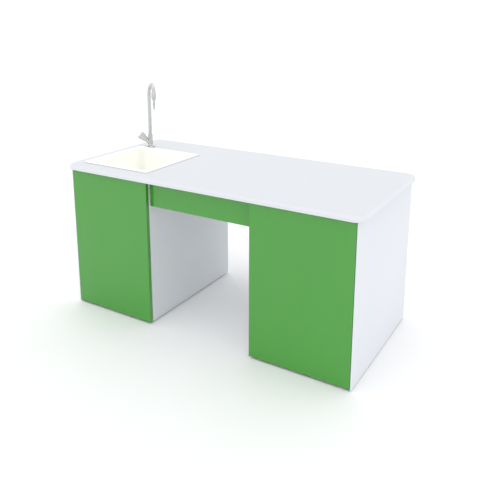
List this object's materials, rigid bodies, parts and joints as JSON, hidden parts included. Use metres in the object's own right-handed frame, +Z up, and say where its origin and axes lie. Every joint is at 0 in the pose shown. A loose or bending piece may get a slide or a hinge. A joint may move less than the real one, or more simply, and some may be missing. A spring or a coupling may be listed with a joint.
{
  "type": "lab teacher desk with sink",
  "caption": "Teacher's lab desk: two door cabinets with a shallow drawer between them, a worktop with an inset sink and a swivelling gooseneck tap.",
  "frame": {"origin": "on the floor under the middle of the worktop", "axes": "+X to the right along the front as seen facing the doors, +Y to the back, +Z up"},
  "size_m": [1.58, 0.735, 1.13],
  "materials": {
    "white_board": "white melamine-faced board, satin",
    "green_front": "leaf-green faced board with eased edges, satin",
    "worktop_white": "white laminate over board, soft satin",
    "sink_white": "white glaze",
    "chrome": "polished plating",
    "stainless": "satin",
    "steel": "zinc-plated sheet",
    "brass": "turned",
    "white_plastic": "moulded",
    "grey_plastic": "moulded",
    "black_plastic": "moulded",
    "rubber": "moulded"
  },
  "bodies": {
    "desk": {"left_end_cover": "white_board", "left_outer_side": "white_board", "left_inner_side": "white_board", "left_bottom": "white_board", "left_back": "white_board", "left_front_rail": "white_board", "left_rear_rail": "white_board", "right_end_cover": "white_board", "right_outer_side": "white_board", "right_inner_side": "white_board", "right_bottom": "white_board", "right_back": "white_board", "right_front_rail": "white_board", "right_rear_rail": "white_board", "right_shelf": "white_board", "rear_stretcher": "white_board", "worktop": "worktop_white", "sink_bowl": "sink_white", "tap_body": "chrome", "valve_bonnet": "chrome", "sink_waste": "stainless", "waste_strainer": "stainless", "left_door_pivots": "steel", "left_runner_rail": "steel", "right_door_pivots": "steel", "right_runner_rail": "steel", "shelf_pins": "steel", "worktop_brackets": "steel", "bracket_screws": "steel", "tap_inlet_tail": "brass", "tap_fixing_nut": "brass", "waste_nut": "white_plastic", "trap_body": "white_plastic", "trap_cup": "white_plastic", "trap_outlet_pipe": "white_plastic", "left_latch_body": "grey_plastic", "right_latch_body": "grey_plastic", "glide_feet": "black_plastic", "tap_gasket": "rubber"},
    "left_door": {"left_door": "green_front", "left_door_bushes": "black_plastic", "left_catch_plate": "steel"},
    "right_door": {"right_door": "green_front", "right_door_bushes": "black_plastic", "right_catch_plate": "steel"},
    "left_plunger": {"left_latch_plunger": "grey_plastic"},
    "right_plunger": {"right_latch_plunger": "grey_plastic"},
    "drawer": {"drawer_front": "green_front", "drawer_left_side": "white_board", "drawer_right_side": "white_board", "drawer_back": "white_board", "drawer_bottom": "white_board", "left_runner_slide": "steel", "right_runner_slide": "steel"},
    "spout": {"spout_pipe": "chrome", "spout_nozzle": "chrome"},
    "handle": {"tap_handle": "chrome", "valve_spindle": "brass"}
  },
  "joints": [
    {"name": "left_door_hinge", "type": "hinge", "parent": "desk", "child": "left_door", "pos_m": [-0.752, -0.344, 0], "axis": [0, 0, -1], "range_deg": [0, 105]},
    {"name": "right_door_hinge", "type": "hinge", "parent": "desk", "child": "right_door", "pos_m": [0.752, -0.344, 0], "axis": [0, 0, 1], "range_deg": [0, 105]},
    {"name": "left_latch_push", "type": "slide", "parent": "desk", "child": "left_plunger", "axis": [0, 1, 0], "range_m": [0, 0.003], "stiffness_N_per_m": 400},
    {"name": "right_latch_push", "type": "slide", "parent": "desk", "child": "right_plunger", "axis": [0, 1, 0], "range_m": [0, 0.003], "stiffness_N_per_m": 400},
    {"name": "drawer_slide", "type": "slide", "parent": "desk", "child": "drawer", "axis": [0, -1, 0], "range_m": [0, 0.35]},
    {"name": "spout_swivel", "type": "hinge", "parent": "desk", "child": "spout", "pos_m": [-0.673, 0.1615, 0.83], "axis": [0, 0, 1], "range_deg": [-90, 90]},
    {"name": "handle_turn", "type": "hinge", "parent": "desk", "child": "handle", "pos_m": [-0.673, 0.1615, 0.779], "axis": [-0.445, -0.5495, 0.7071], "range_deg": [0, 90]}
  ]
}
